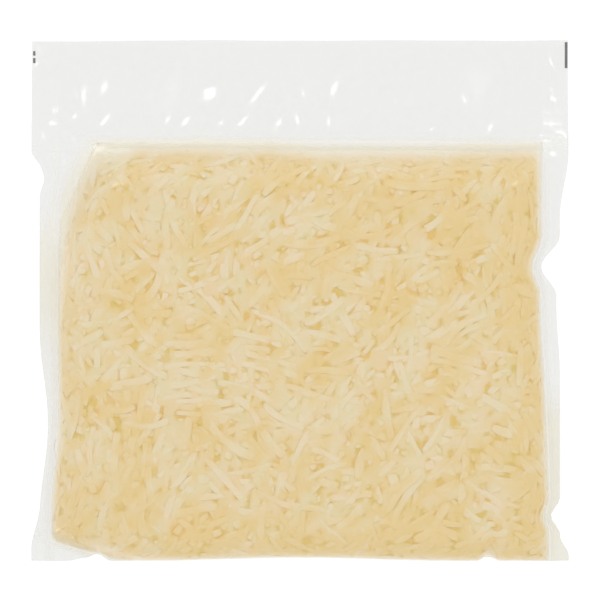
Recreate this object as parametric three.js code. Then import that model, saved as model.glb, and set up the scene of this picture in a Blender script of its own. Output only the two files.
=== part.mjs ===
// A clear, flat-lying vacuum bag of shredded cheese, about 1 kg.
//
// The bag is one closed solid: a thick filled pouch with a flat underside, a flat welded margin along
// each side, a fold along the foot, and an empty header of film above the contents. Where the packed
// cheese draws the film in, the outline is pinched by puckers, and the two foot corners stick out as ears.
// Millimetres, +Z up. +X runs across the bag and +Y towards its header. The origin is the middle of
// the bounding box's underside.

import * as THREE from "three";

// ---- driving dimensions -------------------------------------------------------------------------

const bagWidth = 269; // flat width of the film, seen at the header
const bagHeight = 261; // foot fold to the cut edge of the header
const packThickness = 36; // at the middle of the filled pouch
const headerHeight = 49; // empty film above the filled pouch
const filmPair = 0.8; // thickness of the two films lying together

const halfWidth = bagWidth / 2;
const halfHeight = bagHeight / 2;
const footY = -halfHeight;
const headY = halfHeight;
const pouchHeadY = headY - headerHeight; // where the filled pouch ends and the header begins

// The pouch is 2 * pouchHalfWidth across at its head, and `flare` more on each side towards the foot.
const pouchHalfWidth = 121.3;
const flare = { width: 3.4, from: 0, to: -110 };

// How far in from its own edge the pouch takes to reach its full height, above and below the seam.
const shoulder = { side: 17, foot: 15, head: 27 };
const underside = { side: 11, foot: 10, head: 17, cornerShare: 0.7 };

// Height of the seam, the plane where the two films meet.
const seam = { atPouch: 13, atHeaderEdge: 3.5, sideDroop: 3, droopReach: 12 };

// The contents draw each side in by `pull`, which fades out over `fade` at its two ends.
const draw = {
  left: { pull: 4.2, from: -103, to: 67, fadeFoot: 22, fadeHead: 8 },
  right: { pull: 4.4, from: -118, to: 42, fadeFoot: 10, fadeHead: 32 },
};

// A pucker pinches the outline by `depth` at `at`, over `reach` to either side, and the pouch by less.
const pouchShareOfPucker = 0.5;
const puckers = {
  left: [
    { at: 61, depth: 2.2, reach: 9 },
    { at: -62, depth: 4.2, reach: 48 },
  ],
  right: [
    { at: 17, depth: 8.6, reach: 15 },
    { at: -2, depth: 1.8, reach: 36 },
    { at: -108, depth: 4.6, reach: 9 },
  ],
  foot: [
    { at: -105, depth: 1.8, reach: 13 },
    { at: -101, depth: 2, reach: 6 },
    { at: 0, depth: 1.6, reach: 80 },
    { at: 94, depth: 2.6, reach: 6 },
  ],
};

// A corner cut keeps the contents out of a corner: the pouch ends at the line through two points, and
// reaches its full height above the seam `reach` inside it.
const cornerCuts = [
  { from: [-129, -120], to: [-91, -132.7], reach: 11 }, // left ear
  { from: [-103, 79], to: [-124, 34], reach: 20 }, // head end of the left side
];

// Waves of the header film and lumps of the packed cheese: height, lengths along x and y, and phase.
const headerWaves = [
  { height: 1.5, lengthX: 96, lengthY: 210, phase: 0.7 },
  { height: 0.7, lengthX: 43, lengthY: -120, phase: 2.1 },
];
const lumps = [
  { height: 0.7, lengthX: 118, lengthY: 97, phase: 0.4 },
  { height: 0.5, lengthX: 61, lengthY: -83, phase: 1.9 },
  { height: 0.35, lengthX: -37, lengthY: 44, phase: 4.2 },
];
const crown = { across: 0.07, along: 0.05 }; // share of the height lost towards the pouch's edges

// Spacing of the surface's rows and columns. The outer `margin` of columns lies outside the pouch.
const grid = { coarseStep: 11, fineStep: 3, rim: 24, margin: 12, split: 3 };

// ---- small shape functions ----------------------------------------------------------------------

const clamp01 = (v) => Math.min(1, Math.max(0, v));

// 0 below `from`, 1 above `to`, smooth between.
function ramp(v, from, to) {
  const q = clamp01((v - from) / (to - from));
  return q * q * (3 - 2 * q);
}

// A single rounded hump of height 1, `reach` wide to either side of `at`.
function hump(v, at, reach) {
  const q = clamp01(Math.abs(v - at) / reach);
  return 0.5 + 0.5 * Math.cos(Math.PI * q);
}

// Rises like a quarter circle from 0 at the edge to 1 at distance `radius` inside it.
function roundRise(distance, radius) {
  const q = 1 - clamp01(distance / radius);
  return Math.sqrt(1 - q * q);
}

// Rises like half a cosine wave, for the slack slope towards the header.
const slackRise = (distance, radius) => Math.pow(0.5 - 0.5 * Math.cos(Math.PI * clamp01(distance / radius)), 0.8);

const pinch = (list, v) => list.reduce((sum, p) => sum + p.depth * hump(v, p.at, p.reach), 0);

const wave = (list, x, y) =>
  list.reduce((sum, w) => sum + w.height * Math.sin(2 * Math.PI * (x / w.lengthX + y / w.lengthY) + w.phase), 0);

// ---- outline ------------------------------------------------------------------------------------

// How far the side's outline lies inside the flat film's edge, at height y.
function sideInset(side, y) {
  const d = draw[side];
  const pulled = ramp(y, d.from - d.fadeFoot, d.from) * (1 - ramp(y, d.to, d.to + d.fadeHead));
  return d.pull * pulled + pinch(puckers[side], y);
}

const leftEdge = (y) => -halfWidth + sideInset("left", y);
const rightEdge = (y) => halfWidth - sideInset("right", y);
const footEdge = (x) => footY + pinch(puckers.foot, x);
const headEdge = (x) => headY - 0.6 * hump(x, -halfWidth, 60);

// Half the pouch's width at height y, before its puckers.
const pouchHalf = (y) => pouchHalfWidth + flare.width * (1 - ramp(y, flare.to, flare.from));
const pouchLeft = (y) => -pouchHalf(y) + pouchShareOfPucker * pinch(puckers.left, y);
const pouchRight = (y) => pouchHalf(y) - pouchShareOfPucker * pinch(puckers.right, y);

// ---- the filled pouch ---------------------------------------------------------------------------

// Signed distance from a corner cut's line, positive on the contents' side.
function insideCut(cut, x, y) {
  const [ax, ay] = cut.from;
  const [bx, by] = cut.to;
  const length = Math.hypot(bx - ax, by - ay);
  return ((bx - ax) * (y - ay) - (by - ay) * (x - ax)) / length;
}

// How full the pouch is at a point, from 0 at its edge and outside it to 1 well inside.
function fullness(x, y, radius, headRise, cornerShare) {
  const sides = roundRise(x - pouchLeft(y), radius.side) * roundRise(pouchRight(y) - x, radius.side);
  const ends = roundRise(y - footEdge(x), radius.foot) * headRise(pouchHeadY - y, radius.head);
  const corner = (full, cut) => full * slackRise(insideCut(cut, x, y), cut.reach * cornerShare);
  return cornerCuts.reduce(corner, sides * ends);
}

function seamHeight(x, y) {
  const towardsHead = ramp(y, pouchHeadY - underside.head, headY);
  const level = seam.atPouch + (seam.atHeaderEdge - seam.atPouch) * towardsHead;
  const outside = Math.max(pouchLeft(y) - x, x - pouchRight(y), 0);
  const droop = seam.sideDroop * clamp01(outside / seam.droopReach) * (1 - towardsHead);
  const waves = wave(headerWaves, x, y) * ramp(y, pouchHeadY - 10, headY - 12);
  return level - droop + waves;
}

function topHeight(x, y) {
  const middleY = (footY + pouchHeadY) / 2;
  const across = crown.across * (x / halfWidth) ** 2;
  const along = crown.along * ((y - middleY) / (pouchHeadY - middleY)) ** 2;
  const full = packThickness * (1 - across - along) + wave(lumps, x, y) - 1;
  const base = seamHeight(x, y) + filmPair / 2;
  return base + (full - base) * fullness(x, y, shoulder, slackRise, 1);
}

function underHeight(x, y) {
  const base = seamHeight(x, y) - filmPair / 2;
  return base * (1 - fullness(x, y, underside, roundRise, underside.cornerShare));
}

// ---- surface ------------------------------------------------------------------------------------

// Positions from `from` to `to`: fine along both rims, coarse between them, and split again where `bends` lie.
function stations(from, to, bends) {
  const places = [];
  for (let d = 0; d < grid.rim; d += grid.fineStep) places.push(from + d, to - d);
  const start = from + grid.rim;
  const length = to - grid.rim - start;
  const count = Math.round(length / grid.coarseStep);
  for (let i = 0; i <= count; i++) {
    const here = start + (length * i) / count;
    const middle = here + length / count / 2;
    const bent = i < count && bends.some((b) => Math.abs(middle - b.at) < b.reach + grid.fineStep);
    const parts = bent ? grid.split : 1;
    for (let k = 0; k < parts; k++) places.push(here + (length * k) / (count * parts));
  }
  return places.sort((a, b) => a - b);
}

// Where column u of the flat film lies at height y: the margins and the pouch are stretched apart.
function columnX(u, y) {
  const inner = halfWidth - grid.margin;
  const [left, right] = [pouchLeft(y), pouchRight(y)];
  if (u < -inner) return left + ((u + inner) / grid.margin) * (left - leftEdge(y));
  if (u > inner) return right + ((u - inner) / grid.margin) * (rightEdge(y) - right);
  return left + ((u + inner) / (2 * inner)) * (right - left);
}

// A closed skin: the top sheet and the underside share the same rows and columns, and a rim joins them.
function bagGeometry() {
  const narrow = (list) => list.filter((p) => p.reach < 2 * grid.coarseStep);
  const headShoulder = { at: pouchHeadY - shoulder.head / 2, reach: shoulder.head / 2 };
  const columns = stations(-halfWidth, halfWidth, narrow(puckers.foot));
  const rows = stations(footY, headY, [...narrow(puckers.left), ...narrow(puckers.right), headShoulder]);
  const across = columns.length;
  const positions = [];
  for (const height of [topHeight, underHeight]) {
    for (const v of rows) {
      for (const u of columns) {
        const t = (v + halfHeight) / bagHeight;
        const x = columnX(u, v);
        const y = footEdge(x) + t * (headEdge(x) - footEdge(x));
        positions.push(x, y, height(x, y));
      }
    }
  }

  const underStart = across * rows.length;
  const triangles = [];
  const quad = (a, b, c, d) => triangles.push(a, b, c, a, c, d);
  for (let r = 0; r + 1 < rows.length; r++) {
    for (let c = 0; c + 1 < across; c++) {
      const a = r * across + c;
      quad(a, a + 1, a + across + 1, a + across);
      quad(underStart + a, underStart + a + across, underStart + a + across + 1, underStart + a + 1);
    }
  }
  const lastRow = (rows.length - 1) * across;
  for (let c = 0; c + 1 < across; c++) {
    quad(underStart + c, underStart + c + 1, c + 1, c);
    quad(lastRow + c, lastRow + c + 1, underStart + lastRow + c + 1, underStart + lastRow + c);
  }
  for (let r = 0; r + 1 < rows.length; r++) {
    const left = r * across;
    const right = left + across - 1;
    quad(left, left + across, underStart + left + across, underStart + left);
    quad(right, underStart + right, underStart + right + across, right + across);
  }

  const geometry = new THREE.BufferGeometry();
  geometry.setAttribute("position", new THREE.Float32BufferAttribute(positions, 3));
  geometry.setIndex(triangles);
  geometry.computeBoundingBox();
  const box = geometry.boundingBox;
  geometry.translate(-(box.min.x + box.max.x) / 2, -(box.min.y + box.max.y) / 2, -box.min.z);
  geometry.computeVertexNormals();
  return geometry;
}

// ---- the part -----------------------------------------------------------------------------------

const bag = new THREE.Mesh(
  bagGeometry(),
  new THREE.MeshStandardMaterial({ color: 0xe5cf9f, roughness: 0.45, metalness: 0, flatShading: true }),
);
bag.name = "bag";

const part = new THREE.Group();
part.add(bag);

export default part;
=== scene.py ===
import math

import bpy
import numpy as np
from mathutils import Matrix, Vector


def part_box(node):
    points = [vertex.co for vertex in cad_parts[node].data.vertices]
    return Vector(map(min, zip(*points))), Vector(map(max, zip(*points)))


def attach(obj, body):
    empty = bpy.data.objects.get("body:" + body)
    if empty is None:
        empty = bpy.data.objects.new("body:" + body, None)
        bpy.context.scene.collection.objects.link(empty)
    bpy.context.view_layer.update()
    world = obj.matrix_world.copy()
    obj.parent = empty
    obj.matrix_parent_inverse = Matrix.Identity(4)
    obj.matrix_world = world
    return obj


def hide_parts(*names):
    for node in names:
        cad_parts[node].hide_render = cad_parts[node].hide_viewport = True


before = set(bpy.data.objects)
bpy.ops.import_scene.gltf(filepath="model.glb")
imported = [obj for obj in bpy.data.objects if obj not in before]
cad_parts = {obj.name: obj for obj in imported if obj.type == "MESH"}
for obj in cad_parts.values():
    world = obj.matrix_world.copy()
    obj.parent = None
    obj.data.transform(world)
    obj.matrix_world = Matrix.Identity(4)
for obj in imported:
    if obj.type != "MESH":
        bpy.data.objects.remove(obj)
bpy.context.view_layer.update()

# Lengths are in millimetres until a mesh is written, which is in metres.
# +X runs across the bag, +Y towards its empty header and +Z up out of the upper face.
mm = 0.001
bagLow, bagHigh = [np.array(corner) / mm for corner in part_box("bag")]
halfWidth = (bagHigh[0] - bagLow[0]) / 2
footY = bagLow[1]
headY = bagHigh[1]
packThickness = bagHigh[2] - bagLow[2]
print("frame loaded: bag of", [round(float(side), 1) for side in bagHigh - bagLow], "mm")


# Small curves.

def ramp(v, start, end):  # 0 before start, 1 past end, 3q^2 - 2q^3 between them, q the share of the way
    q = np.clip((v - start) / (end - start), 0, 1)
    return q * q * (3 - 2 * q)


def hump(v, at, reach):  # a raised cosine: 1 at `at`, down to 0 at `reach` to either side
    return 0.5 + 0.5 * np.cos(np.pi * np.clip(np.abs(v - at) / reach, 0, 1))


def roundRise(distance, radius):  # a quarter circle's height over its radius: 0 at the edge, 1 at `radius`
    q = 1 - np.clip(distance / radius, 0, 1)
    return np.sqrt(1 - q * q)


def slackRise(distance, radius):  # half a cosine wave, from 0 up to 1 at `radius`, to the power 0.8
    return (0.5 - 0.5 * np.cos(np.pi * np.clip(distance / radius, 0, 1))) ** 0.8


def bell(v, at, width):  # e to the power of minus q^2, where q is (v - at) / width
    return np.exp(-(((v - at) / width) ** 2))


def pinch(puckers, v):  # the sum of the puckers' humps
    return sum(depth * hump(v, at, reach) for at, depth, reach in puckers)


def wave(waves, x, y):  # the sum of slanted sine waves of height h, lx long along x and ly along y
    return sum(h * np.sin(2 * np.pi * (x / lx + y / ly) + phase) for h, lx, ly, phase in waves)


def softNoise(x, y, size, seed, count=9):
    # The sum of sine waves near `size` long that run every way, divided so that its spread is 1.
    draw = np.random.default_rng(seed)
    turns = draw.uniform(0, np.pi, count)
    lengths = size * draw.uniform(0.7, 1.5, count)
    phases = draw.uniform(0, 6.3, count)
    total = 0
    for turn, length, phase in zip(turns, lengths, phases):
        total = total + np.sin(2 * np.pi * (x * np.cos(turn) + y * np.sin(turn)) / length + phase)
    return total / math.sqrt(count / 2)


# The shape of the bag.

bag = {
    "headerHeight": 49,  # empty film above the filled pouch
    "filmPair": 0.4,  # thickness of the two films lying together
    "pouchHalfWidth": 121.3,
    "flare": (3.4, 0, -110),  # extra half width towards the foot, from y, to y
    "seamAtPouch": 13,  # height of the plane where the two films meet
    "seamAtHead": 3.5,  # and at the header's edge
    "sideDroop": (3, 12),  # the welded margins hang by this, over this reach
    "headDip": (0.6, 60),  # the header's left corner is lower by this, over this reach
    "crown": (0.07, 0.05),  # share of the height lost across and along
    "waves": [(1.5, 96, 210, 0.7), (0.7, 43, -120, 2.1)],  # height, lengths along x and y, phase
    "wavesGrow": (10, 12),  # from this far below the pouch's head end to this far below the header's edge
    "lumps": [(0.7, 118, 97, 0.4), (0.5, 61, -83, 1.9), (0.35, -37, 44, 4.2)],  # as the waves
    "lumpRoom": 1,  # the upper face is this much lower, so that its lumps stay within the height
    "pull": {"left": (4.2, -103, 67, 22, 8), "right": (4.4, -118, 42, 10, 32)},  # pull, from, to, two fades
    "puckers": {  # at, depth, reach
        "left": [(61, 2.2, 9), (-62, 4.2, 48)],
        "right": [(17, 8.6, 15), (-2, 1.8, 36), (-108, 4.6, 9)],
        "foot": [(-105, 1.8, 13), (-101, 2, 6), (0, 1.6, 80), (94, 2.6, 6)],
    },
    "pouchShareOfPucker": 0.5,
    "cuts": [  # lines across two corners, the film's reach to full height, and how far inside the cheese is
        {"line": ((-129, -120), (-91, -132.7)), "reach": 11, "gap": 1.2},
        {"line": ((-103, 79), (-124, 34)), "reach": 20, "gap": 0.6},
    ],
}
pouchHeadY = headY - bag["headerHeight"]

# How far inside the pouch's sides, foot and head end each sheet reaches its full height, and by which curve.
topSheet = {"side": 17, "foot": 15, "head": 27, "headRise": slackRise, "cornerShare": 1.0}
underSheet = {"side": 11, "foot": 10, "head": 17, "headRise": roundRise, "cornerShare": 0.7}


def sideInset(side, y):  # the pull, faded by a ramp at its two ends, plus the puckers
    pull, start, end, fadeFoot, fadeHead = bag["pull"][side]
    pulled = ramp(y, start - fadeFoot, start) * (1 - ramp(y, end, end + fadeHead))
    return pull * pulled + pinch(bag["puckers"][side], y)


def outline(y):  # where the film's left and right edges lie
    return -halfWidth + sideInset("left", y), halfWidth - sideInset("right", y)


def footEdge(x):  # the foot, raised by its puckers
    return footY + pinch(bag["puckers"]["foot"], x)


def headEdge(x):  # the header's edge, lowered by a hump at its left corner
    dip, reach = bag["headDip"]
    return headY - dip * hump(x, -halfWidth, reach)


def pouchSides(y):  # half the pouch's width grows towards the foot, less its share of each pucker
    width, start, end = bag["flare"]
    half = bag["pouchHalfWidth"] + width * (1 - ramp(y, end, start))
    share = bag["pouchShareOfPucker"]
    return -half + share * pinch(bag["puckers"]["left"], y), half - share * pinch(bag["puckers"]["right"], y)


def insideCut(cut, x, y):  # signed distance from the cut's line, positive on the contents' side
    (ax, ay), (bx, by) = cut["line"]
    return ((bx - ax) * (y - ay) - (by - ay) * (x - ax)) / math.hypot(bx - ax, by - ay)


def fullness(sheet, x, y):  # the product of the rises from the two sides, the foot, the head and the cuts
    left, right = pouchSides(y)
    full = roundRise(x - left, sheet["side"]) * roundRise(right - x, sheet["side"])
    full = full * roundRise(y - footEdge(x), sheet["foot"])
    full = full * sheet["headRise"](pouchHeadY - y, sheet["head"])
    for cut in bag["cuts"]:
        full = full * slackRise(insideCut(cut, x, y), cut["reach"] * sheet["cornerShare"])
    return full


def seamHeight(x, y):  # level at the pouch, lower at the header's edge, hanging at the sides, plus the waves
    towardsHead = ramp(y, pouchHeadY - underSheet["head"], headY)
    level = bag["seamAtPouch"] + (bag["seamAtHead"] - bag["seamAtPouch"]) * towardsHead
    left, right = pouchSides(y)
    hang, reach = bag["sideDroop"]
    outside = np.maximum(np.maximum(left - x, x - right), 0)
    droop = hang * np.clip(outside / reach, 0, 1) * (1 - towardsHead)
    belowPouchHead, belowEdge = bag["wavesGrow"]
    grown = ramp(y, pouchHeadY - belowPouchHead, headY - belowEdge)
    return level - droop + wave(bag["waves"], x, y) * grown


def topHeight(x, y):  # from the seam up to a crowned, slightly lumpy face, by the fullness
    middleY = (footY + pouchHeadY) / 2
    across, along = bag["crown"]
    lost = across * (x / halfWidth) ** 2 + along * ((y - middleY) / (pouchHeadY - middleY)) ** 2
    full = packThickness * (1 - lost) + wave(bag["lumps"], x, y) - bag["lumpRoom"]
    base = seamHeight(x, y) + bag["filmPair"] / 2
    return base + (full - base) * fullness(topSheet, x, y)


def underHeight(x, y):  # from the seam down to the flat base, by the fullness
    return (seamHeight(x, y) - bag["filmPair"] / 2) * (1 - fullness(underSheet, x, y))


# Meshes.

def newPiece(name, points, faces, material, smooth=True):  # a mesh at the origin, from points in millimetres
    mesh = bpy.data.meshes.new(name)
    mesh.from_pydata((points * mm).tolist(), [], faces.tolist())
    mesh.polygons.foreach_set("use_smooth", np.full(len(mesh.polygons), smooth))
    mesh.update()
    mesh.materials.append(material)
    piece = bpy.data.objects.new(name, mesh)
    bpy.context.scene.collection.objects.link(piece)
    return piece


def addAttributes(piece, **fields):  # one number for each point, under each name
    for name, values in fields.items():
        layer = piece.data.attributes.new(name, "FLOAT", "POINT")
        layer.data.foreach_set("value", np.asarray(values, dtype=np.float32).ravel())


def gridFaces(rows, columns, start=0):  # one quad between each four neighbours of a grid of points
    index = start + np.arange(rows * columns).reshape(rows, columns)
    corners = (index[:-1, :-1], index[:-1, 1:], index[1:, 1:], index[1:, :-1])
    return np.stack([c.ravel() for c in corners], axis=1)


def rimOf(rows, columns):  # the indices round a grid's edge, anticlockwise from its first point
    index = np.arange(rows * columns).reshape(rows, columns)
    return np.concatenate([index[0, :-1], index[:-1, -1], index[-1, :0:-1], index[:0:-1, 0]])


def closedSheets(upper, lower):  # two grids of the same size, joined by a strip round their rims
    rows, columns = upper.shape[:2]
    count = rows * columns
    rim = rimOf(rows, columns)
    after = np.roll(rim, -1)
    strip = np.stack([rim + count, after + count, after, rim], axis=1)
    points = np.concatenate([upper.reshape(-1, 3), lower.reshape(-1, 3)])
    under = gridFaces(rows, columns, count)[:, ::-1]
    return points, np.concatenate([gridFaces(rows, columns), under, strip])


def joined(meshes):  # one mesh of several: each one's faces count on from the points before its own
    starts = np.cumsum([0] + [len(points) for points, _ in meshes[:-1]])
    faces = [faces + start for (_, faces), start in zip(meshes, starts)]
    return np.concatenate([points for points, _ in meshes]), np.concatenate(faces)


def wearSlots(piece):  # how the frame knows a finished piece
    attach(piece, "root")
    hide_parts("bag")


# Shader writing.

def mathsOf(operation):  # an operator's two methods: with the wire on its left, and on its right
    return (lambda self, other: self.maths(operation, self, other),
            lambda self, other: self.maths(operation, other, self))


class Wire:
    # One output socket. Adding, taking, multiplying, dividing and raising make Math nodes.

    def __init__(self, graph, socket):
        self.graph = graph
        self.socket = socket

    def maths(self, operation, *values):
        settings = {"operation": operation}
        return self.graph.node("ShaderNodeMath", settings, dict(enumerate(values)))

    __add__, __radd__ = mathsOf("ADD")
    __sub__, __rsub__ = mathsOf("SUBTRACT")
    __mul__, __rmul__ = mathsOf("MULTIPLY")
    __truediv__, __rtruediv__ = mathsOf("DIVIDE")
    __pow__, __rpow__ = mathsOf("POWER")

    def clamped(self):
        return self.maths("MINIMUM", self.maths("MAXIMUM", self, 0.0), 1.0)


class Graph:
    # A material's or world's node tree. `node` adds one node and gives the wire from its named output.

    def __init__(self, owner):
        self.owner = owner
        owner.use_nodes = True
        self.tree = owner.node_tree
        self.tree.nodes.clear()

    def node(self, kind, settings=None, inputs=None, output=0):
        made = self.tree.nodes.new(kind)
        for key, value in (settings or {}).items():
            setattr(made, key, value)
        for key, value in (inputs or {}).items():
            if isinstance(value, Wire):
                self.tree.links.new(value.socket, made.inputs[key])
            else:
                made.inputs[key].default_value = value
        return Wire(self, made.outputs[output]) if len(made.outputs) else None

    def attribute(self, name):
        return self.node("ShaderNodeAttribute", {"attribute_name": name}, output="Fac")

    def noise(self, size, detail):  # smooth noise from 0 to 1, its lumps `size` mm across
        place = self.node("ShaderNodeTexCoord", output="Object")
        inputs = {"Vector": place, "Scale": 1 / (size * mm), "Detail": detail}
        return self.node("ShaderNodeTexNoise", inputs=inputs)

    def blend(self, factor, first, second):  # first at 0, second at 1
        settings = {"data_type": "RGBA"}
        return self.node("ShaderNodeMix", settings, {0: factor, 6: first, 7: second}, output=2)

    def bump(self, height, strength, distance):
        inputs = {"Height": height, "Strength": strength, "Distance": distance * mm}
        return self.node("ShaderNodeBump", inputs=inputs)

    def mixShader(self, factor, first, second):
        return self.node("ShaderNodeMixShader", inputs={0: factor, 1: first, 2: second})

    def finish(self, shader):
        self.node("ShaderNodeOutputMaterial", inputs={"Surface": shader})
        return self.owner


# Camera, light and floor.

studio = {
    "fieldWidth": 300,  # mm of the bag's plane across the picture
    "lens": 200,
    "clipEnd": 50,  # m
    "worldStrength": (1.05, 0.985, 0.12),  # at the horizon, overhead, and how much more towards -Y
    "boxes": [  # azimuth from +X, elevation, distance m, size m, power W
        (125, 40, 1.6, 0.4, 1.7),
        (45, 40, 1.6, 0.4, 1.7),
    ],
    "floorSize": 8.0,  # m
    "floorColour": (0.15, 0.15, 0.15, 1),  # the floor is a lit white table: most of its light is its own
    "floorGlow": 0.9,
    "floorDrop": 0.3,  # mm below the bag
}


def makeCamera():  # straight above, as far off as the lens needs to see the field's width at the seam
    data = bpy.data.cameras.new("camera")
    data.lens = studio["lens"]
    camera = bpy.data.objects.new("camera", data)
    distance = studio["fieldWidth"] * mm * data.lens / data.sensor_width
    camera.location = (0, 0, distance + bag["seamAtPouch"] * mm)
    data.clip_end = studio["clipEnd"]
    bpy.context.scene.collection.objects.link(camera)
    bpy.context.scene.camera = camera


def lampPlace(azimuth, elevation, distance):  # from its two angles in degrees and its distance
    a, e = math.radians(azimuth), math.radians(elevation)
    return distance * math.cos(a) * math.cos(e), distance * math.sin(a) * math.cos(e), distance * math.sin(e)


def makeLight(azimuth, elevation, distance, size, power):  # a square soft box that faces the middle
    data = bpy.data.lights.new("softbox", "AREA")
    data.shape = "SQUARE"
    data.size = size
    data.energy = power
    light = bpy.data.objects.new("softbox", data)
    light.location = lampPlace(azimuth, elevation, distance)
    light.rotation_mode = "QUATERNION"
    light.rotation_quaternion = light.location.to_track_quat("Z", "Y")
    light.visible_camera = False
    bpy.context.scene.collection.objects.link(light)


def makeWorld():
    # Its strength goes from the horizon's to the overhead one by the direction's z, and more is added by
    # its -y.
    world = bpy.data.worlds.new("studio")
    graph = Graph(world)
    low, high, front = studio["worldStrength"]
    direction = graph.node("ShaderNodeTexCoord", output="Generated")
    upward = graph.node("ShaderNodeSeparateXYZ", inputs={0: direction}, output="Z")
    sideways = graph.node("ShaderNodeSeparateXYZ", inputs={0: direction}, output="Y")
    strength = low + (high - low) * upward.clamped() + front * (0 - sideways).clamped()
    light = graph.node("ShaderNodeBackground", inputs={"Color": (1, 1, 1, 1), "Strength": strength})
    graph.node("ShaderNodeOutputWorld", inputs={"Surface": light})
    bpy.context.scene.world = world


def makeFloor():  # one square with a glow of its own
    graph = Graph(bpy.data.materials.new("paleFloor"))
    inputs = {
        "Base Color": studio["floorColour"],
        "Roughness": 0.7,
        "Specular IOR Level": 0.0,
        "Emission Color": (1, 1, 1, 1),
        "Emission Strength": studio["floorGlow"],
    }
    material = graph.finish(graph.node("ShaderNodeBsdfPrincipled", inputs=inputs))
    half = studio["floorSize"] / 2 / mm
    drop = -studio["floorDrop"]
    corners = np.array([(-half, -half, drop), (half, -half, drop), (half, half, drop), (-half, half, drop)])
    newPiece("floor", corners, np.array([[0, 1, 2, 3]]), material, smooth=False)


bpy.context.scene.view_settings.view_transform = "Standard"
makeCamera()
makeWorld()
for box in studio["boxes"]:
    makeLight(*box)
makeFloor()
print("camera, lights and floor made")


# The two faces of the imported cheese.

contents = {
    "headGap": 2.2,  # the cheese ends this far short of the pouch's head end
    "slant": [(2.6, -20, 12), (-1, 60, 90)],  # and further by each amount, growing from one x to another
    "cutSoftness": 2.5,
    "nose": 4.5,  # radius of its rounded end there
    "clearance": 0.35,  # gap between the film and the shreds
    "nominalHalf": 122,  # half the pouch's width, for the unrolled faces
    "footFades": (10, 60),  # the foot's own curve fades out between these distances from it
    "thinnest": 2.6,  # no shred lies where the cheese is thinner
}
contentHeadY = pouchHeadY - contents["headGap"]


def headSlant(x):  # how much sooner the cheese ends than at the left: the sum of the amounts times ramps
    return sum(amount * ramp(x, start, end) for amount, start, end in contents["slant"])


def contentHeight(sheet, x, y):  # the film's height, drawn to the seam by quarter circles at head and cuts
    film = topHeight(x, y) if sheet is topSheet else underHeight(x, y)
    seam = seamHeight(x, y)
    nose = roundRise(contentHeadY - y, contents["nose"])
    for cut in bag["cuts"]:
        nose = nose * roundRise(insideCut(cut, x, y) - cut["gap"], contents["nose"])
    return seam + (film - seam) * nose


def keepInsideCuts(x, y):
    # Moves each point off a cut's line, so that its distance d becomes gap + (q + sqrt(q^2 + c^2)) / 2,
    # where q is d - gap and c the softness.
    for cut in bag["cuts"]:
        (ax, ay), (bx, by) = cut["line"]
        size = math.hypot(bx - ax, by - ay)
        short = insideCut(cut, x, y) - cut["gap"]
        move = (np.sqrt(short ** 2 + contents["cutSoftness"] ** 2) - short) / 2
        x, y = x - (by - ay) / size * move, y + (bx - ax) / size * move
    return x, y


def quarterArc(radius, rise):  # length of a quarter ellipse: a quarter turn of its root mean square radius
    return np.pi / 2 * math.sqrt((radius ** 2 + rise ** 2) / 2)


def unrollAlong(sheet):  # length along the face against y, measured down the middle of the bag
    turn = np.linspace(0, np.pi / 2, 60)
    start = footEdge(0.0) + sheet["foot"] * (1 - np.cos(turn))
    nose = contentHeadY - contents["nose"] * (1 - np.cos(turn[::-1]))
    y = np.concatenate([start, np.linspace(start[-1], nose[0], 400)[1:-1], nose])
    z = contentHeight(sheet, 0.0 * y, y)
    length = np.concatenate([[0], np.cumsum(np.hypot(np.diff(y), np.diff(z)))])
    return length - length[-1] / 2, y


for sheet in (topSheet, underSheet):
    rise = packThickness - bag["seamAtPouch"] if sheet is topSheet else bag["seamAtPouch"]
    sheet["arc"] = quarterArc(sheet["side"], rise)
    sheet["flatHalf"] = contents["nominalHalf"] - sheet["side"]
    sheet["halfS"] = sheet["flatHalf"] + sheet["arc"]
    sheet["lengths"], sheet["ys"] = unrollAlong(sheet)
    sheet["halfT"] = sheet["lengths"][-1]


def facePoint(sheet, s, t):
    # (s, t) are millimetres on the unrolled face. t gives y by the measured lengths. s gives the distance
    # from the pouch's side: straight in the middle, radius times (1 - cos) round the shoulder. Near the foot
    # its curve is added to y, which moves the sides, so that x and y are worked out twice.
    s = np.clip(s, -sheet["halfS"], sheet["halfS"])
    y = np.interp(t, sheet["lengths"], sheet["ys"])
    beyond = np.maximum(np.abs(s) - sheet["flatHalf"], 0) / sheet["arc"]
    curved = sheet["side"] * (1 - np.cos(np.pi / 2 * (1 - beyond)))
    inward = np.where(beyond > 0, curved, contents["nominalHalf"] - np.abs(s))
    start, end = [footEdge(0.0) + distance for distance in contents["footFades"]]
    for _ in range(2):
        left, right = pouchSides(y)
        stretch = (right - left) / (2 * contents["nominalHalf"])
        x = np.where(s < 0, left + inward * stretch, right - inward * stretch)
        nearFoot = 1 - ramp(y, start, end)
        y = np.interp(t, sheet["lengths"], sheet["ys"]) + (footEdge(x) - footEdge(0.0)) * nearFoot
    x, y = keepInsideCuts(x, y)
    return np.stack([x, y, contentHeight(sheet, x, y)], axis=-1)


def contentThickness(place):  # the upper face's height less the lower one's
    x, y = place[..., 0], place[..., 1]
    return contentHeight(topSheet, x, y) - contentHeight(underSheet, x, y)


def unit(v):  # v over its length
    return v / np.maximum(np.linalg.norm(v, axis=-1, keepdims=True), 1e-9)


def faceNormal(sheet, s, t, step=0.6):  # outward, from the cross product of the two central differences
    s = np.clip(s, 2 * step - sheet["halfS"], sheet["halfS"] - 2 * step)
    t = np.clip(t, 2 * step - sheet["halfT"], sheet["halfT"] - 2 * step)
    alongS = facePoint(sheet, s + step, t) - facePoint(sheet, s - step, t)
    alongT = facePoint(sheet, s, t + step) - facePoint(sheet, s, t - step)
    normal = unit(np.cross(alongS, alongT))
    return normal if sheet is topSheet else -normal


# Shreds.

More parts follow.
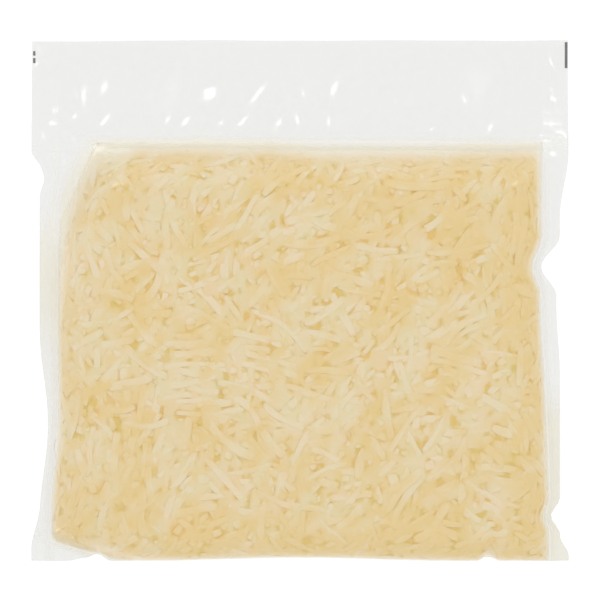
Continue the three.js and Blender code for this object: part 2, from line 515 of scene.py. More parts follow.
shreds = {
    "width": (2.8, 5.3),
    "thickness": (1.6, 2.2),
    "rounds": [  # tries, shortest, longest, points along each, how covered one may be, and whether over pits
        (3200, 15, 40, 10, 0.4, True),
        (3200, 11, 30, 9, 0.68, True),
        (2600, 9, 22, 7, 0.75, False),
        (1400, 5, 12, 5, 0.75, False),
    ],
    "narrowing": (0.2, 6, 14),  # share of its width that one this short loses; one this long loses none
    "flow": {"middle": 22, "left": 48, "upperLeft": 45, "upperRight": 62},  # degrees from +X, and added ones
    "wander": [(26, 95, 5), (16, 38, 6)],  # degrees by noise, its size and seed
    "sideBand": 6,  # they turn upright over this far to either side of the pouch's side
    "spread": 36,  # degrees either side of the flow
    "bend": 20,  # degrees turned along a shred, as a spread
    "fullBend": 30,  # a shred shorter than this turns less
    "sway": 8,  # degrees of a slow wave along it
    "wobble": 0.14,  # how unevenly wide a shred is along its length
    "pressed": 0.17,  # share of its thickness that a shred adds to the pile over it
    "uneven": 0.12,  # how far apart the flush faces of the shreds lie
    "pitSize": 12,
    "pitsFrom": 0.45,  # the noise at which pits begin
    "raster": 0.6,  # cell of the map of what is covered
    "across": 8,  # places across a shred at which the map is read
    "along": 60,  # and about this many along it
    "lean": (4, 5),  # degrees that its flat face leans, as a spread, and at most
    "twist": 3,  # degrees more along it
    "room": 0.15,  # share of its width that a shred keeps from the seam
    "sideShadeDepth": 1.4,  # how much faster than its true depth a shred turns to the deep colour down its sides, as painted shade
    "endShadeDepth": 0.5,  # and at its ends, also painted shade
    "endDip": 0.3,  # its ends sink by this
    "ownTone": 0.19,  # how much the shreds differ in yellow, as a spread
    "nook": (-104.5, 56),  # no shreds where x is less and y is more: there the core shows through the haze
    "headEnd": (0.6, 0.8),  # they end this short of the head, and this unevenly
    "inside": 0.3,  # and keep this far inside the pouch's sides and foot, seen from above
}


def flowAngle(s, t):
    # Degrees from +X: those of the middle, plus those of the left, the upper left and the upper right, each
    # times its ramps, plus two sizes of noise. Ramps turn it nearly upright along the two sides, and nearly
    # level at the head end.
    flow = shreds["flow"]
    left = flow["left"] * ramp(-s, 78, 112)
    upperLeft = flow["upperLeft"] * ramp(t, 40, 85) * ramp(-s, -20, 30)
    upperRight = flow["upperRight"] * ramp(s, 70, 110) * ramp(t, -10, 40)
    angle = flow["middle"] + left + upperLeft + upperRight
    for degrees, size, seed in shreds["wander"]:
        angle = angle + degrees * softNoise(s, t, size, seed)
    half, band = contents["nominalHalf"], shreds["sideBand"]
    angle = angle + (90 - angle) * 0.8 * ramp(np.abs(s), half - band, half + band)
    return angle * (1 - 0.85 * ramp(t, 88, 102))


def stationsOf(points):  # from -1 to 1, closer at both ends: sines of even angles, scaled
    reach = 0.47 * np.pi
    return np.sin(np.linspace(-reach, reach, points)) / math.sin(reach)


def layPaths(centres, length, points, draw):
    # Each path runs through its centre, and its heading is the flow's there, turned by chance, plus an even
    # bend and a slow sine wave. Its points lie at `stationsOf` times half its length.
    count = len(centres)
    k = stationsOf(points)
    heading = flowAngle(centres[:, 0], centres[:, 1]) + draw.normal(0, shreds["spread"], count)
    bend = draw.normal(0, shreds["bend"], count) * np.minimum(length / shreds["fullBend"], 1)
    sway = draw.uniform(-1, 1, count) * shreds["sway"]
    phase = draw.uniform(0, 2 * np.pi, count)
    angle = np.radians(heading[:, None] + bend[:, None] * k + sway[:, None] * np.sin(4 * k + phase[:, None]))
    step = length[:, None] / 2 * np.diff(k, prepend=-1)
    middle = points // 2
    s = np.cumsum(np.cos(angle) * step, axis=1)
    t = np.cumsum(np.sin(angle) * step, axis=1)
    s += centres[:, :1] - s[:, middle:middle + 1]
    t += centres[:, 1:] - t[:, middle:middle + 1]
    return s, t


def usable(sheet, s, t, room):  # inside the face by the room, short of its ragged end, and thick enough
    short, uneven = shreds["headEnd"]
    end = sheet["halfT"] - short - headSlant(s) - uneven * (0.5 + 0.5 * softNoise(s, 0 * s, 26, 8))
    inside = (np.abs(s) < sheet["halfS"] - room) & (t < end - room) & (t > room - sheet["halfT"])
    place = facePoint(sheet, s, t)
    nookX, nookY = shreds["nook"]
    inside = inside & ((place[..., 0] > nookX) | (place[..., 1] < nookY))
    return inside & (contentThickness(place) > contents["thinnest"])


def stackShreds(sheet, s, t, width, thickness, lift, pile, hidden):
    # Laid from the film inwards. A shred lies flush where nothing covers it, and dips under what does:
    # its depth is the median pile over its width, the greatest of near neighbours, smoothed, plus its lift.
    cell = shreds["raster"]
    count, points = s.shape
    fine = max(2, round(shreds["along"] / points))
    marks = np.linspace(0, points - 1, (points - 1) * fine + 1)
    offset = np.linspace(-0.5, 0.5, shreds["across"])
    kept, depths = [], []
    for i in range(count):
        fs = np.interp(marks, np.arange(points), s[i])
        ft = np.interp(marks, np.arange(points), t[i])
        ds, dt = np.gradient(fs), np.gradient(ft)
        size = np.hypot(ds, dt) + 1e-9
        rs = fs[:, None] - offset * width[i] * (dt / size)[:, None]
        rt = ft[:, None] + offset * width[i] * (ds / size)[:, None]
        a = ((rs + sheet["halfS"]) / cell).astype(int).clip(0, pile.shape[0] - 1)
        b = ((rt + sheet["halfT"]) / cell).astype(int).clip(0, pile.shape[1] - 1)
        over = pile[a, b]
        if np.mean(over > 0) > hidden:
            continue
        high = np.median(over, axis=1)
        padded = np.pad(high, 1, mode="edge")
        high = np.max([padded[j:j + len(high)] for j in range(3)], axis=0)
        padded = np.pad(high, 2, mode="edge")
        depth = np.mean([padded[j:j + len(high)] for j in range(5)], axis=0) + lift[i]
        np.maximum.at(pile, (a, b), (depth + thickness[i] * shreds["pressed"])[:, None] + 0 * rs)
        kept.append(i)
        depths.append(depth[::fine])
    return np.array(kept), np.array(depths)


def pitField(s, t):  # noise; where it is high the short shreds stay out and the core lies deep
    return softNoise(s, t, shreds["pitSize"], 21)


def layFace(sheet, seed):  # rounds of ever shorter shreds, the later ones centred on what is still bare
    draw = np.random.default_rng(seed)
    halfS, halfT, cell = sheet["halfS"], sheet["halfT"], shreds["raster"]
    cells = (int(2 * halfS / cell) + 1, int(2 * halfT / cell) + 1)
    pile = np.zeros(cells)
    places = np.meshgrid(*[np.arange(n) * cell - h for n, h in zip(cells, (halfS, halfT))], indexing="ij")
    covers = usable(sheet, *places, 0)
    filled = covers & (pitField(*places) < shreds["pitsFrom"])
    narrowing, start, end = shreds["narrowing"]
    sets = []
    for tries, shortest, longest, points, hidden, overPits in shreds["rounds"]:
        bare = np.argwhere((pile == 0) & (covers if overPits else filled))
        centres = bare[draw.integers(0, len(bare), tries)] * cell - (halfS, halfT)
        length = draw.triangular(shortest, (2 * shortest + longest) / 3, longest, tries)
        narrowed = 1 - narrowing + narrowing * ramp(length, start, end)
        width = draw.uniform(*shreds["width"], tries) * narrowed
        thickness = draw.uniform(*shreds["thickness"], tries)
        s, t = layPaths(centres, length, points, draw)
        fits = np.all(usable(sheet, s, t, width[:, None] * shreds["room"]), axis=1)
        s, t, width, thickness = s[fits], t[fits], width[fits], thickness[fits]
        lift = draw.uniform(0, shreds["uneven"], len(s))
        kept, depth = stackShreds(sheet, s, t, width, thickness, lift, pile, hidden)
        sets.append((s[kept], t[kept], width[kept], thickness[kept], depth))
        print("  round of", len(kept), "shreds, bare share", round(float(np.mean(pile[covers] == 0)), 3))
    return sets, draw


# Round a shred's section, in halves of its width and thickness: pressed flat to the film, narrower behind.
sectionX = np.array([1.0, 0.92, 0.62, -0.62, -0.92, -1.0, -0.6, 0.6])
sectionZ = np.array([0.1, 0.84, 1.0, 1.0, 0.84, 0.1, -1.0, -1.0])


mozzarella = {
    "light": [(0.84, 0.757, 0.478, 1), (0.92, 0.728, 0.513, 1)],  # colours of the shreds, creamy and pinkish
    "warm": (0.88, 0.67, 0.325, 1),  # where they are yellower
    "deep": [(0.735, 0.60, 0.15, 1), (0.885, 0.545, 0.16, 1)],  # painted shade in pits and gaps, creamy and pinkish
    "paintedWhite": (0.98, 0.945, 0.85, 1),  # painted light where the film stands off them and on their steep sides
    "sizes": {"clouds": 7.5, "grain": 1.1, "pits": 13, "pinkness": 12},
    "yellow": (0.37, 1.1, 0.2),  # share of the warm colour, and how much the clouds and the grain vary it
    "depths": (0.25, 0.7),  # the depth at which the painted shade of the deep colour begins, and how much deeper it is full
    "roughness": 0.55,
    "atRight": (0.36, 44, 20),  # how much yellower, and how far from the edge that begins and is full
    "atFoot": (0.55, 32, 10),
    "mottle": [(0.3, 36, 61), (0.24, 13, 62)],  # how much yellower by noise, its size and seed
    "palest": 0.95,
    "corner": (-95, 80, 18),  # x, y and reach of a spot of painted light
    "wideAbove": (25, 45),  # the band of painted light along the right side is wider above these y
    "patches": [  # x, y, reach, and how much yellower the cheese is there
        (-50, 42, 45, -0.2),
        (-60, -48, 40, -0.22),
        (-91, -66, 25, 0.2),
        (52, -112, 45, 0.3),
        (84, 30, 42, 0.15),
        (-20, 76, 30, 0.04),
        (-82, 72, 26, -0.15),
        (96, 74, 24, 0.22),
        (112, -28, 18, 0.35),
        (88, 4, 28, 0.25),
        (76, -120, 17, 0.3),
    ],
}


def warmth(place):
    # How much yellower the cheese is: the greater of two ramps, towards the right and the foot, plus ramps
    # towards the upper right and the lower left, less a hump across the middle, plus a hump for each patch
    # and two sizes of noise.
    x, y = place[..., 0], place[..., 1]
    much, begins, full = mozzarella["atRight"]
    right = much * ramp(x, halfWidth - begins, halfWidth - full)
    much, begins, full = mozzarella["atFoot"]
    foot = much * (1 - ramp(y, footY + full, footY + begins))
    upperRight = 0.3 * ramp(x, -20, 60) * ramp(y, -20, 20)
    lowerLeft = 0.16 * (1 - ramp(x, -90, -50)) * (1 - ramp(y, -20, 30))
    trend = np.maximum(right, foot) + upperRight + lowerLeft - 0.14 * hump(y, -42, 36)
    for cx, cy, reach, amount in mozzarella["patches"]:
        trend = trend + amount * hump(np.hypot(x - cx, y - cy), 0, reach)
    for amount, size, seed in mozzarella["mottle"]:
        trend = trend + amount * softNoise(x, y, size, seed)
    return trend


def paleness(place):
    # How much painted light whitens the cheese where the film stands off it, standing in for the milky
    # film's veil and for light that its steep sides and ends lack: the greater of the shares of the head end
    # and the cuts, plus those of the two sides and the foot. Each is a sum of ramps that fall with the
    # distance inwards.
    # A hump paints light on the upper left corner. The whole is cut off at the palest, and fades below the
    # seam.
    x, y = place[..., 0], place[..., 1]
    above = 1 - 0.7 * ramp(seamHeight(x, y) - place[..., 2], 0.5, 4.5)
    left, right = pouchSides(y)
    fromLeft, fromRight = x - left, right - x
    along = y + headSlant(x)
    cornerX, cornerY, reach = mozzarella["corner"]
    corner = hump(np.hypot(x - cornerX, y - cornerY), 0, reach)
    atHead = 0.8 * ramp(along, 70.4, 78.2) + 0.08 * ramp(along, 58, 72) + 0.6 * corner
    atHead = atHead + 0.2 * ramp(along, 78, 82)
    earCut, headCut = [insideCut(cut, x, y) - cut["gap"] for cut in bag["cuts"]]
    atCuts = 0.5 * (1 - ramp(earCut, 0, 4)) + 0.75 * (1 - ramp(headCut, -1, 11))
    atCuts = atCuts + 0.12 * (1 - ramp(headCut, 0, 16))
    high = hump(y, 20, 42)
    atLeft = (0.55 - 0.1 * high) * (1 - ramp(fromLeft, 0, 4 + 3 * high))
    wide = (0.2 + 0.1 * high) * (1 - ramp(fromLeft, 0, 12 + 9 * high))
    wider = 1.2 * ramp(y, *mozzarella["wideAbove"])
    atRight = 0.8 * (1 - ramp(fromRight - wider, -0.5, 4.3))
    atFoot = 0.3 * (1 - ramp(y - footEdge(x), 0, 4))
    pale = np.maximum(atHead, atCuts) + atLeft + wide + atRight + atFoot
    return np.clip(pale, 0, mozzarella["palest"]) * above


def shredFaces(count, stations):  # walls between neighbouring sections, and three quads to close each end
    index = np.arange(count * stations * len(sectionX)).reshape(count, stations, len(sectionX))
    near, far = index[:, :-1], index[:, 1:]
    turned = np.roll(index, -1, axis=2)
    nearTurned, farTurned = turned[:, :-1], turned[:, 1:]
    walls = np.stack([near, nearTurned, farTurned, far], axis=-1).reshape(-1, 4)
    first, last = index[:, 0], index[:, -1]
    caps = [(0, 5, 4, 1), (1, 4, 3, 2), (0, 7, 6, 5)]
    starts = np.concatenate([first[:, list(c)] for c in caps])
    ends = np.concatenate([last[:, list(c[::-1])] for c in caps])
    return np.concatenate([walls, starts, ends])


def shredMesh(sheet, s, t, width, thickness, depth, draw):
    # The section is carried along each path, its flat side to the film, and narrowed at both ends. Its
    # points are then clipped to the pouch's sides and foot. It also gives how deep each point is, for the
    # painted shade, how yellow it is, and how much painted light whitens it.
    count, stations = s.shape
    surface = facePoint(sheet, s, t)
    normal = faceNormal(sheet, s, t)
    along = unit(np.gradient(surface, axis=1))
    across = unit(np.cross(normal, along))
    normal = unit(np.cross(along, across))
    k = stationsOf(stations)
    wobble = 1 + shreds["wobble"] * np.sin(5 * k + draw.uniform(0, 6.3, (count, 1)))
    taper = 0.6 + 0.4 * (1 - np.abs(k) ** 9) ** 0.5  # full width until close to its ends
    depth = depth + shreds["endDip"] * np.abs(k) ** 10
    halfWide = width[:, None] / 2 * wobble * taper
    halfThick = thickness[:, None] / 2 * (0.8 + 0.2 * taper)
    lean, most = shreds["lean"]
    leant = np.clip(draw.normal(0, lean, (count, 1)), -most, most)
    twist = np.radians(leant + shreds["twist"] * np.sin(3 * k + draw.uniform(0, 6.3, (count, 1))))
    centre = surface - normal * (contents["clearance"] + depth + halfThick)[..., None]
    side = across * np.cos(twist)[..., None] + normal * np.sin(twist)[..., None]
    upward = normal * np.cos(twist)[..., None] - across * np.sin(twist)[..., None]
    points = centre[:, :, None] + side[:, :, None] * (halfWide[..., None] * sectionX)[..., None]
    points = points + upward[:, :, None] * (halfThick[..., None] * sectionZ)[..., None]
    left, right = pouchSides(points[..., 1])
    points[..., 0] = np.clip(points[..., 0], left + shreds["inside"], right - shreds["inside"])
    points[..., 1] = np.maximum(points[..., 1], footEdge(points[..., 0]) + shreds["inside"])
    # Painted shade: the deep colour comes sooner down the sides and at the ends than the true depth gives.
    down = shreds["sideShadeDepth"] * (1 - sectionZ) + shreds["endShadeDepth"] * (np.abs(k) ** 8)[:, None]
    deep = depth[:, :, None] + halfThick[..., None] * down
    tone = draw.normal(0, shreds["ownTone"], (count, 1, 1)) + warmth(points)
    mesh = (points.reshape(-1, 3), shredFaces(count, stations))
    return mesh, (deep.ravel(), tone.ravel(), paleness(points).ravel())


def cheeseMaterial():
    # Light and warm colours, then the deep one as painted shade in pits and gaps and the whitened one as
    # painted light, each blended over the last by a field of the piece, and noise.
    graph = Graph(bpy.data.materials.new("mozzarella"))
    sizes = mozzarella["sizes"]
    cloudy = graph.noise(sizes["clouds"], 2.0)
    grain = graph.noise(sizes["grain"], 3.0)
    pitted = ((graph.noise(sizes["pits"], 1.0) - 0.36) / 0.28).clamped()
    pink = graph.noise(sizes["pinkness"], 2.0)
    start, more = mozzarella["depths"]
    # Painted shade: the deep colour grows with the depth, more where the pit noise is high.
    paintedDepthShade = ((graph.attribute("depth") - start) / more).clamped() * (0.45 + 0.85 * pitted)
    yellow, byClouds, byGrain = mozzarella["yellow"]
    shade = yellow + graph.attribute("tone") + byClouds * (cloudy - 0.5) + byGrain * (grain - 0.5)
    colour = graph.blend(shade.clamped(), graph.blend(pink, *mozzarella["light"]), mozzarella["warm"])
    colour = graph.blend(paintedDepthShade.clamped(), colour, graph.blend(pink, *mozzarella["deep"]))
    # Painted light: whitened where the film stands off the cheese and on its steep sides.
    colour = graph.blend(graph.attribute("pale"), colour, mozzarella["paintedWhite"])
    inputs = {
        "Base Color": colour,
        "Roughness": mozzarella["roughness"],
        "Normal": graph.bump(grain, 0.12, 0.3),
        "Specular IOR Level": 0.25,
    }
    return graph.finish(graph.node("ShaderNodeBsdfPrincipled", inputs=inputs))


cheese = cheeseMaterial()
for faceName, sheet, seed in (("top", topSheet, 11), ("under", underSheet, 12)):
    sets, draw = layFace(sheet, seed)
    for part, rows in (("a", slice(0, None, 2)), ("b", slice(1, None, 2))):
        made = [shredMesh(sheet, *[values[rows] for values in laid], draw) for laid in sets]
        points, faces = joined([mesh for mesh, _ in made])
        depth, tone, pale = [np.concatenate(field) for field in zip(*[fields for _, fields in made])]
        piece = newPiece("shreds_" + faceName + "_" + part, points, faces, cheese)
        addAttributes(piece, depth=depth, tone=tone, pale=pale)
        wearSlots(piece)
        count = sum(len(laid[0][rows]) for laid in sets)
        print(piece.name, "made:", count, "shreds,", 2 * len(faces), "triangles")


# The core under the shreds.

core = {
    "depths": (0.42, 1.0),  # shallow, where the shreds look fused, and deep, where there is a pit
    "fused": (-0.12, 1.1),  # the unevenness at which it leaves the shallow depth and reaches the deep one
    "deepest": 0.42,  # at most this share of the cheese's thickness
    "rows": 190,
    "columns": 200,
    "shortOfHead": 1.5,
    "evenHead": (15, 6),  # its pits fade out between these distances from the head end
    "normalAt": 0.985,  # its direction inwards is taken this share of the way out, clear of the folded rim
}


def coreFace(sheet):  # the face moved inwards, shallow or deep by a ramp of two noises, and how far that is
    share = np.linspace(-1, 1, core["columns"])
    s = np.broadcast_to(share * sheet["halfS"], (core["rows"], core["columns"]))
    t = np.linspace(-sheet["halfT"], sheet["halfT"] - core["shortOfHead"], core["rows"])
    t = np.broadcast_to(t[:, None], s.shape)
    shallow, deep = core["depths"]
    unevenness = 0.6 * pitField(s, t) + 0.7 * softNoise(s, t, 6.5, 22)
    start, end = [sheet["halfT"] - distance for distance in core["evenHead"]]
    inset = shallow + (deep - shallow) * ramp(unevenness, *core["fused"]) * (1 - ramp(t, start, end))
    place = facePoint(sheet, s, t)
    inset = np.minimum(inset, contentThickness(place) * core["deepest"])
    out = core["normalAt"]
    return place - faceNormal(sheet, s * out, t * out) * inset[..., None], inset


(upper, upperDepth), (lower, lowerDepth) = coreFace(topSheet), coreFace(underSheet)
points, faces = closedSheets(upper, lower)
coreBody = newPiece("cheese_core", points, faces, cheese)
# The core's inset also sets its painted shade.
depth = np.concatenate([upperDepth.ravel(), lowerDepth.ravel()])
addAttributes(coreBody, depth=depth, tone=warmth(points), pale=paleness(points))
wearSlots(coreBody)
print("core made:", 2 * len(faces), "triangles")


# The film.

film = {
    "marginCells": 14,
    "shoulderCells": 20,
    "middleColumns": 172,
    "footRows": 14,
    "middleRows": 62,
    "slopeRows": 34,
    "headerRows": 92,
    "margin": 12,  # columns this near the edge lie outside the pouch
    "welds": [(87.5, 0.06), (93.5, 0.05)],  # y and height of the ridges across the pouch's mouth
    "creases": (9.5, 0.15),  # distance from the sides, and height
    "ridgeWidth": 0.9,
    "faint": [(0.025, 14, 32), (0.01, 6, 33)],  # height of noise, its size and seed
    "gathers": (0.22, 7.5, 0.12),  # height, size, and how fast the noise changes along them, as a share
    "gathersAt": (3, 8),  # distance of their middle from the edge, and their reach
    "deepestGather": -0.15,
    "cutHaze": [(5, 3, 0.04), (12, 10, 0.25)],  # at each cut, its reach in and out, and the share beyond
    "pouchEnds": (72, 80),  # the haze of the cuts and sides fades out between these y
    "smearedRight": (-62, -38),  # the right margin is milkier below these y, and its milk yellowed by painted light from the cheese
    "smearedLeft": (4, 50),  # and the left one round this y, over this reach
    "underMilk": (0.5, 0.35),  # share of the milky film in the lower sheet, and how much less at the head
    "tint": (0.908, 0.91, 0.904, 1),  # of the clear film
    "milk": (0.82, 0.812, 0.775, 1),
    # The milk's colour where painted light from the cheese yellows it.
    "smearedMilk": (0.815, 0.77, 0.625, 1),
    "crinkleSize": 5.5,
    "glints": [  # x, y, degrees from +X, half length and half width of a fold that shines, and its lamp
        (-107.5, 106.5, 55, 5.4, 4.8, 0),
        (-98.6, 106.0, 100, 5.2, 6.2, 0),
        (-112.0, 102.0, 105, 6.0, 2.3, 1),
        (-79.0, 105.5, 105, 4.6, 2.2, 1),
        (-44.6, 104.0, 60, 6.6, 8.4, 0),
        (-20.8, 103.8, 38, 10.0, 3.0, 0),
        (-31.2, 99.6, 35, 2.8, 1.9, 0),
        (-8.8, 98.0, 20, 2.4, 1.7, 0),
        (16.8, 106.3, 68, 6.0, 3.6, 0),
        (1.8, 103.4, 80, 3.0, 2.0, 1),
        (47.8, 99.6, 50, 2.6, 2.8, 0),
        (82.2, 100.5, 95, 4.2, 2.2, 1),
        (95.5, 87.0, 55, 6.2, 3.8, 0),
        (66.0, 85.6, 22, 3.4, 2.6, 0),
        (-112.8, 92.0, 60, 2.6, 2.8, 0),
        (-97.4, 90.4, 38, 6.6, 3.2, 0),
        (-66.0, 90.6, 55, 3.2, 2.8, 0),
        (-57.2, 89.4, 45, 6.2, 3.4, 0),
        (-48.8, 90.8, 45, 2.6, 2.8, 0),
        (-39.4, 89.0, 66, 5.6, 3.6, 0),
        (-28.8, 89.3, 36, 6.4, 3.2, 0),
        (-10.8, 88.4, 65, 6.4, 4.4, 0),
        (-1.2, 90.0, 95, 5.0, 2.4, 1),
        (14.3, 89.5, 86, 5.6, 3.6, 1),
        (-113.0, 80.2, 140, 4.6, 3.0, 1),
        (-105.4, 78.2, 112, 4.6, 2.8, 1),
        (-125.0, 108.0, 92, 5.0, 2.0, 1),
        (-126.5, 97.0, 85, 4.5, 3.0, 1),
        (-131.5, 85.5, 95, 5.5, 3.5, 1),
        (-125.2, 74.6, 110, 5.4, 1.5, 1),
        (-117.8, 69.2, 150, 3.8, 1.8, 1),
        (-131.0, 125.6, 125, 4.0, 2.6, 1),
        (-132.0, 118.6, 60, 3.4, 2.6, 0),
        (124.8, 124.4, 108, 5.8, 1.8, 1),
        (126.0, 118.8, 115, 5.8, 2.0, 1),
        (126.5, 105.4, 90, 4.4, 1.6, 1),
        (126.5, 101.2, 90, 2.2, 2.6, 1),
        (126.8, 81.8, 168, 4.0, 1.7, 0),
        (126.7, 73.0, 90, 3.2, 2.0, 1),
        (-130.5, 93.0, 80, 4.0, 3.0, 0),
        (-126.0, 88.0, 85, 4.5, 3.0, 0),
    ],
}


def filmColumns():  # even on the margins, closer round the shoulders by radius times (1 - cos)
    inner = halfWidth - film["margin"]
    turn = np.linspace(0, np.pi / 2, film["shoulderCells"] + 1)
    margin = np.linspace(-halfWidth, -inner, film["marginCells"] + 1)
    shoulder = -inner + topSheet["side"] * (1 - np.cos(turn))
    left = np.concatenate([margin[:-1], shoulder])
    middle = np.linspace(left[-1], -left[-1], film["middleColumns"] + 1)
    return np.concatenate([left, middle[1:-1], -left[::-1]])


def filmRows():  # closer over the foot by radius times (1 - cos), and then even on each stretch
    turn = np.linspace(0, np.pi / 2, film["footRows"] + 1)
    foot = footY + topSheet["foot"] * (1 - np.cos(turn))
    slope = pouchHeadY - topSheet["head"]
    middle = np.linspace(foot[-1], slope, film["middleRows"] + 1)
    down = np.linspace(slope, pouchHeadY, film["slopeRows"] + 1)
    header = np.linspace(pouchHeadY, headY, film["headerRows"] + 1)
    return np.concatenate([foot, middle[1:], down[1:], header[1:]])


def filmPlan():
    # Margins and pouch are each stretched evenly across their own width at that height, and then the columns
    # are stretched evenly from the foot's edge to the header's.
    u, v = np.meshgrid(filmColumns(), filmRows())
    inner = halfWidth - film["margin"]
    left, right = outline(v)
    pouchLeft, pouchRight = pouchSides(v)
    x = pouchLeft + (u + inner) / (2 * inner) * (pouchRight - pouchLeft)
    x = np.where(u < -inner, pouchLeft + (u + inner) / film["margin"] * (pouchLeft - left), x)
    x = np.where(u > inner, pouchRight + (u - inner) / film["margin"] * (right - pouchRight), x)
    y = footEdge(x) + (v - footY) / (headY - footY) * (headEdge(x) - footEdge(x))
    return x, y


def calmHeader(x, y):
    # The sum of bells across the weld ridges, of a bell along each side, broken up by noise, and of faint
    # noise, all of it faded in by a ramp from the pouch.
    inHeader = ramp(y, pouchHeadY - 6, pouchHeadY + 2)
    weld = sum(height * bell(y, at, film["ridgeWidth"]) for at, height in film["welds"])
    broken = 0.5 + 0.5 * softNoise(0 * x, y, 9, 31)
    fromEdge, height = film["creases"]
    creases = height * bell(np.abs(x), halfWidth - fromEdge, film["ridgeWidth"]) * np.clip(broken, 0, 1)
    faint = sum(amount * softNoise(x, y, size, seed) for amount, size, seed in film["faint"])
    return inHeader * (weld + creases * ramp(y, 66, 74) + faint)


def slopeOf(height, x, y, step=0.5):  # central differences along x and y
    alongX = height(x + step, y) - height(x - step, y)
    alongY = height(x, y + step) - height(x, y - step)
    return np.stack([alongX, alongY], axis=-1) / (2 * step)


def shineSlope(lamp, x, y):
    # The slopes that turn a lamp's light to the camera: minus the x and y, over the z, of the sum of the
    # unit directions to both.
    azimuth, elevation, distance = studio["boxes"][lamp][:3]
    here = np.array([x, y, topHeight(x, y)])
    toLamp = unit(np.array(lampPlace(azimuth, elevation, distance)) / mm - here)
    toCamera = unit(np.array(bpy.context.scene.camera.location) / mm - here)
    halfway = toLamp + toCamera
    return -halfway[:2] / halfway[2]


def headerRelief(x, y):
    # The calm header, and a fold at each glint: a plane through its middle, times e to the power of minus
    # the squared distances along and across it, in half lengths and half widths. With the calm film's own
    # slopes, the plane's make those that shine.
    total = calmHeader(x, y)
    for cx, cy, turned, length, width, lamp in film["glints"]:
        calm = slopeOf(topHeight, np.array(cx), cy) + slopeOf(calmHeader, np.array(cx), cy)
        slopeX, slopeY = shineSlope(lamp, cx, cy) - calm
        a = math.radians(turned)
        along = (x - cx) * math.cos(a) + (y - cy) * math.sin(a)
        across = (y - cy) * math.cos(a) - (x - cx) * math.sin(a)
        share = np.exp(-((along / length) ** 2) - (across / width) ** 2)
        total = total + (slopeX * (x - cx) + slopeY * (y - cy)) * share
    return total


def gathers(x, y):
    # Short wrinkles across the pouch's rim: noise drawn out across the sides and the foot, times a bell of
    # the distance from each, and ramps that fade it towards the corners.
    height, size, drawnOut = film["gathers"]
    left, right = pouchSides(y)
    fromSide = np.minimum(x - left, right - x)
    nearSide = bell(fromSide, *film["gathersAt"]) * ramp(y, footY + 2, footY + 14)
    nearSide = nearSide * (1 - ramp(y, pouchHeadY - 22, pouchHeadY - 4))
    nearFoot = bell(y - footEdge(x), *film["gathersAt"]) * ramp(fromSide, 0, 8)
    sideNoise = softNoise(drawnOut * x, y, size, 41)
    footNoise = softNoise(x, drawnOut * y, size, 42)
    return height * nearSide * sideNoise + height * nearFoot * footNoise


def filmSheet(x, y, height, sign):
    # The base face, moved along its normal by the gathers, and straight up by the relief that both films
    # share. Ramps keep the gathers off the edges.
    z = height(x, y)
    slope = slopeOf(height, x, y)
    normal = unit(np.stack([-slope[..., 0], -slope[..., 1], np.ones_like(x)], axis=-1)) * sign
    left, right = outline(y)
    inside = ramp(np.minimum(x - left, right - x), 0, 3)
    inside = inside * ramp(y - footEdge(x), 0, 3) * ramp(headEdge(x) - y, 0, 2)
    out = np.maximum(gathers(x, y), film["deepestGather"]) * inside
    points = np.stack([x, y, z], axis=-1) + normal * out[..., None]
    points[..., 2] += headerRelief(x, y)
    return points


def filmHaze(x, y):
    # The share of milky film: 1 less the product of what is left clear by the greater haze of the head end
    # and the cuts, by each side and by the milkier margins. Ramps raise and lower it where the film leaves
    # the cheese, and humps do at the sides. Two more humps keep the steep walls clear, where it looks dark.
    along = y + 0.5 * softNoise(x, 0 * x, 60, 51) + 0.5 * headSlant(x)
    haze = 0.12 * ramp(along, 67, 75) + 0.5 * ramp(along, 74.6, 78.6)
    haze = haze * (1 - ramp(along - 0.2 * headSlant(x), 77.4, 83)) * (0.15 + 0.85 * ramp(x, -114, -96))
    inPouch = 1 - ramp(y, *film["pouchEnds"])
    for cut, (inner, outer, beyond) in zip(bag["cuts"], film["cutHaze"]):
        near = insideCut(cut, x, y) - cut["gap"]
        onCut = 0.25 * (1 - ramp(near, 1, inner)) + beyond * (1 - ramp(near, -2, 2))
        haze = np.maximum(haze, onCut * ramp(near, -outer, -1) * inPouch)
    left, right = pouchSides(y)
    fromLeft, fromRight = x - left, right - x
    atLeft = 0.36 * hump(fromLeft, -1, 3.5) + 0.1 * (1 - ramp(fromLeft, -1, 4)) * (1 - ramp(y, 30, 50))
    atRight = 0.42 * hump(fromRight - 0.6 * ramp(y, *mozzarella["wideAbove"]), -0.8, 3.5)
    onRight = 0.38 * ramp(x, right - 1.5, right + 0.5) * (1 - ramp(y, *film["smearedRight"]))
    onLeft = 0.3 * (1 - ramp(x, left - 0.5, left + 1.5)) * hump(y, *film["smearedLeft"])
    smeared = onRight + onLeft
    haze = (1 - haze) * (1 - atLeft * inPouch) * (1 - atRight * inPouch) * (1 - smeared)
    atWall = np.maximum(0.55 * hump(fromLeft, 0.3, 1.5), 0.9 * hump(fromRight, 0, 1.6))
    return (1 - haze) * (1 - atWall * inPouch)


def filmPaintedCheeseLight(x, y):
    # How yellow the milky film is, as painted light from the cheese scattered in it: the greatest of a
    # share by the cheese, a ramp on the right margin low down, and one on the left margin with a hump at
    # its middle and a lower one below it.
    left, right = pouchSides(y)
    onRight = ramp(x, right - 3, right) * (1 - ramp(y, *film["smearedRight"]))
    lower = 0.4 * hump(y, -50, 70)
    onLeft = (1 - ramp(x, left, left + 3)) * np.maximum(hump(y, *film["smearedLeft"]), lower)
    near = insideCut(bag["cuts"][1], x, y)
    inPouch = 1 - ramp(y + 2 * headSlant(x), contentHeadY, contentHeadY + 5)
    byCheese = 0.8 * ramp(near, -9, 0) * ramp(x, left - 1, left + 3) * ramp(right - x, -2, 3) * inPouch
    return np.maximum(0.92 * np.maximum(onLeft, onRight), byCheese)


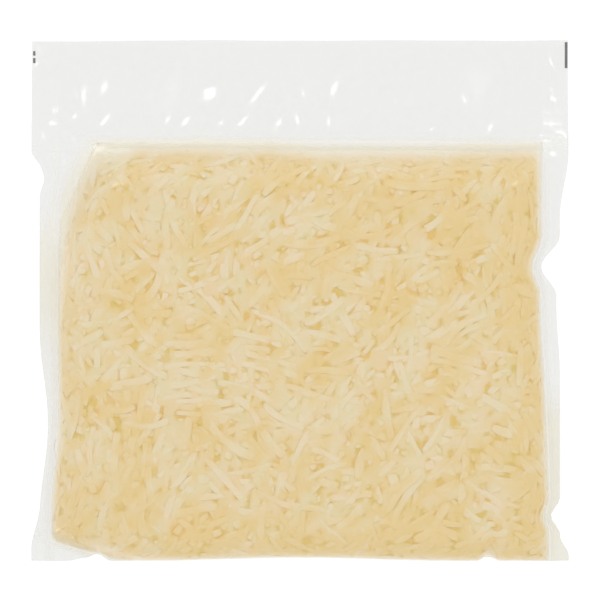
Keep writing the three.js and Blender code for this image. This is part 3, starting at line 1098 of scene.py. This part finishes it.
def filmMaterial():
    # Clear film, mixed with milky film by its haze, under a gloss that grows towards grazing by the fifth
    # power of the facing, and that the haze dulls.
    graph = Graph(bpy.data.materials.new("clearFilm"))
    facing = graph.node("ShaderNodeLayerWeight", inputs={"Blend": 0.5}, output="Facing")
    haze = graph.attribute("haze")
    shine = (0.05 + 0.9 * facing ** 5).clamped() * (1 - 0.8 * haze)
    crinkle = graph.noise(film["crinkleSize"], 2.0)
    milky = (0.03 + haze + 0.03 * (crinkle - 0.5)).clamped()
    clear = graph.node("ShaderNodeBsdfTransparent", inputs={"Color": film["tint"]})
    # Painted light: the milk is yellowed by the cheese's light.
    colour = graph.blend(graph.attribute("smear"), film["milk"], film["smearedMilk"])
    inputs = {"Base Color": colour, "Roughness": 0.5, "Specular IOR Level": 0.0}
    milk = graph.node("ShaderNodeBsdfPrincipled", inputs=inputs)
    inputs = {"Color": (1, 1, 1, 1), "Roughness": 0.2, "Normal": graph.bump(crinkle, 0.12, 0.5)}
    gloss = graph.node("ShaderNodeBsdfGlossy", inputs=inputs)
    return graph.finish(graph.mixShader(shine, graph.mixShader(milky, clear, milk), gloss))


x, y = filmPlan()
points, faces = closedSheets(filmSheet(x, y, topHeight, 1), filmSheet(x, y, underHeight, -1))
filmBody = newPiece("bag_film", points, faces, filmMaterial())
haze = filmHaze(x, y).ravel()
smear = filmPaintedCheeseLight(x, y).ravel()
share, less = film["underMilk"]
underShare = share - less * ramp(y, 62, 74).ravel()
addAttributes(filmBody, haze=np.concatenate([haze, underShare * haze]), smear=np.concatenate([smear, smear]))
wearSlots(filmBody)
print("film made:", 2 * len(faces), "triangles")


# The printed marks.

marks = {
    "places": [  # x, y, width and height
        (-133.4, 123.8, 1.2, 2.3),
        (-133.4, 120.2, 1.2, 2.5),
        (133.7, 123.0, 1.4, 13.0),
    ],
    "lift": 0.12,  # over the middle of the film
    "thickness": 0.05,
    "points": (5, 13),  # of the grid, across and along
    "ink": [(0.11, 0.11, 0.11, 1), (0.19, 0.19, 0.19, 1)],  # full and worn
}


def inkMaterial():  # from full to worn by noise
    graph = Graph(bpy.data.materials.new("printInk"))
    inputs = {"Base Color": graph.blend(graph.noise(1.2, 3.0), *marks["ink"]), "Roughness": 0.4}
    return graph.finish(graph.node("ShaderNodeBsdfPrincipled", inputs=inputs))


def markFace(cx, cy, width, height, lift):  # an even grid at the upper film's height, raised by the lift
    across, along = [np.linspace(-0.5, 0.5, count) for count in marks["points"]]
    x, y = np.meshgrid(cx + across * width, cy + along * height)
    return np.stack([x, y, topHeight(x, y) + headerRelief(x, y) + lift], axis=-1)


lift, thickness = marks["lift"], marks["thickness"]
points, faces = joined(
    [closedSheets(markFace(*place, lift + thickness), markFace(*place, lift)) for place in marks["places"]]
)
marksBody = newPiece("printed_marks", points, faces, inkMaterial())
wearSlots(marksBody)
print("marks made:", 2 * len(faces), "triangles")
